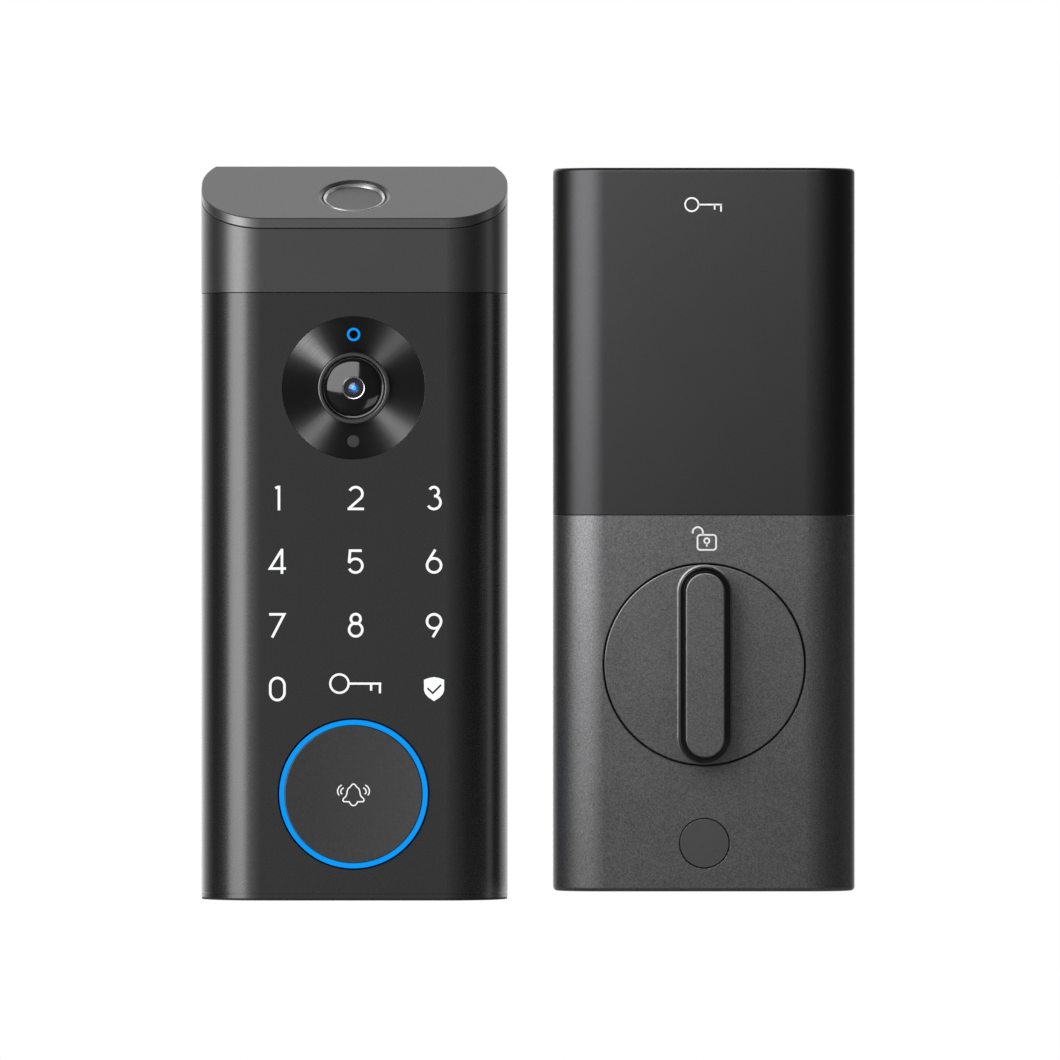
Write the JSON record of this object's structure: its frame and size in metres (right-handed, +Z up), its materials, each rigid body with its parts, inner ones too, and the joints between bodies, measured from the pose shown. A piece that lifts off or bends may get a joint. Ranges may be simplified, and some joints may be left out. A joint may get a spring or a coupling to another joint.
{
  "type": "keypad smart lock",
  "caption": "Two-part video keypad deadbolt: outdoor unit with camera, touch keypad, doorbell button and fingerprint reader, and indoor unit with battery bay, thumbturn and motor drive.",
  "frame": {"origin": "centre of the door's cross bore, on the door face that the outdoor unit's gasket rests on", "axes": "+X to the viewer's right, +Y into the door, +Z up; both units' fronts face -Y, and the indoor unit lies beside the outdoor one at the height it has when mounted"},
  "size_m": [0.1488, 0.068, 0.1677],
  "materials": {
    "body_paint": "satin black powder coat on die-cast aluminium",
    "cap_paint": "satin graphite anodised aluminium",
    "indoor_paint": "bead-blasted graphite metallic paint",
    "cover_plastic": "soft-touch black ABS",
    "base_plastic": "fine-textured black polycarbonate",
    "chassis_alloy": "as-cast aluminium",
    "plate_steel": "zinc-plated pressed steel",
    "screw_steel": "zinc-plated steel",
    "gasket_rubber": "black silicone foam",
    "plug_rubber": "black silicone",
    "bezel_black": "spun, black anodised aluminium under gloss lacquer",
    "lens_ring": "black anodised aluminium, polished edge",
    "cover_glass": "clear coated glass",
    "lens_glass": "coated lens, blue reflex",
    "baffle_black": "matt black lens baffle",
    "blue_light": "frosted light pipe, lit blue",
    "sensor_window": "smoked window",
    "mic_steel": "nickel-plated can",
    "finger_ring": "polished stainless steel",
    "finger_pad": "coated sensor glass",
    "light_guide": "white diffuser film",
    "circuit_board": "green solder mask on glass-epoxy",
    "button_plastic": "satin black PC",
    "inner_plastic": "black nylon",
    "natural_plastic": "natural acetal",
    "silicone": "translucent silicone",
    "switch_body": "black nylon with a steel cover",
    "connector_ivory": "ivory nylon",
    "port_steel": "drawn stainless shell",
    "cell_wrap": "blue shrink sleeve",
    "pack_plastic": "black PC-ABS",
    "tab_fabric": "red woven ribbon",
    "contact_gold": "gold-plated spring strip",
    "turn_paint": "bead-blasted graphite metallic paint",
    "lock_button_plastic": "satin black PC",
    "bush_brass": "turned brass",
    "spindle_steel": "turned steel",
    "motor_steel": "drawn, nickel-plated can",
    "sensor_blue": "blue potentiometer body"
  },
  "bodies": {
    "root": {"outdoor_shell": "body_paint", "head_cover": "cap_paint", "top_cap": "cap_paint", "base_cap": "base_plastic", "outdoor_chassis": "chassis_alloy", "door_gasket": "gasket_rubber", "threaded_posts": "screw_steel", "camera_bezel": "bezel_black", "camera_ring": "lens_ring", "camera_glass": "cover_glass", "camera_baffle": "baffle_black", "camera_lens": "lens_glass", "camera_module": "circuit_board", "status_light_ring": "blue_light", "light_sensor_window": "sensor_window", "microphone": "mic_steel", "fingerprint_ring": "finger_ring", "fingerprint_sensor": "finger_pad", "keypad_light_guide": "light_guide", "touch_board": "circuit_board", "bell_housing": "inner_plastic", "bell_return_pad": "silicone", "bell_switch": "switch_body", "outdoor_board": "circuit_board", "outdoor_harness_socket": "connector_ivory", "speaker": "inner_plastic", "usb_port": "port_steel", "outdoor_screws": "screw_steel", "indoor_shell": "indoor_paint", "battery_case": "pack_plastic", "battery_lid": "pack_plastic", "battery_cells": "cell_wrap", "battery_pull_tab": "tab_fabric", "battery_contacts": "contact_gold", "mounting_plate": "plate_steel", "spindle_bush": "bush_brass", "idler_pin": "spindle_steel", "gear_motor": "motor_steel", "position_sensor": "sensor_blue", "gear_plate_rear": "plate_steel", "gear_plate_front": "plate_steel", "lock_button_pad": "silicone", "lock_button_switch": "switch_body", "indoor_board": "circuit_board", "indoor_harness_socket": "connector_ivory", "indoor_screws": "screw_steel", "buzzer": "inner_plastic"},
    "bell_button": {"bell_cap": "button_plastic", "bell_light_ring": "blue_light", "bell_plunger": "natural_plastic"},
    "port_plug": {"usb_plug": "plug_rubber"},
    "sliding_cover": {"battery_cover": "cover_plastic"},
    "thumbturn": {"thumbturn_disc": "turn_paint", "thumbturn_grip": "turn_paint", "thumbturn_spindle": "spindle_steel", "drive_gear": "natural_plastic"},
    "idler": {"idler_gear": "natural_plastic"},
    "pinion": {"motor_pinion": "bush_brass"},
    "position_gear": {"sensor_gear": "natural_plastic"},
    "lock_key": {"lock_button": "lock_button_plastic"}
  },
  "joints": [
    {"name": "thumbturn_turn", "type": "hinge", "parent": "root", "child": "thumbturn", "pos_m": [0.0796, 0, 0], "axis": [0, 1, 0], "range_deg": [-90, 90]},
    {"name": "idler_turn", "type": "hinge", "parent": "root", "child": "idler", "pos_m": [0.06767, 0, -0.01704], "axis": [0, 1, 0], "range_deg": [-301, 301]},
    {"name": "pinion_turn", "type": "hinge", "parent": "root", "child": "pinion", "pos_m": [0.06274, 0, -0.03057], "axis": [0, 1, 0], "range_deg": [-901, 901]},
    {"name": "position_gear_turn", "type": "hinge", "parent": "root", "child": "position_gear", "pos_m": [0.0916, 0, -0.02079], "axis": [0, 1, 0], "range_deg": [-181, 181]},
    {"name": "bell_press", "type": "slide", "parent": "root", "child": "bell_button", "axis": [0, 1, 0], "range_m": [0, 0.0007], "stiffness_N_per_m": 1500, "springref_m": -0.001, "deforming": ["bell_return_pad"]},
    {"name": "lock_key_press", "type": "slide", "parent": "root", "child": "lock_key", "axis": [0, 1, 0], "range_m": [0, 0.0008], "stiffness_N_per_m": 1200, "springref_m": -0.001, "deforming": ["lock_button_pad"]},
    {"name": "battery_cover_slide", "type": "slide", "parent": "root", "child": "sliding_cover", "axis": [0, 0, 1], "range_m": [0, 0.08]},
    {"name": "port_plug_pull", "type": "slide", "parent": "root", "child": "port_plug", "axis": [0, 0, -1], "range_m": [0, 0.012]}
  ],
  "couplings": [
    {"joint": "idler_turn", "follows": "thumbturn_turn", "ratio": -3.3333},
    {"joint": "pinion_turn", "follows": "thumbturn_turn", "ratio": 10},
    {"joint": "position_gear_turn", "follows": "thumbturn_turn", "ratio": -2}
  ]
}
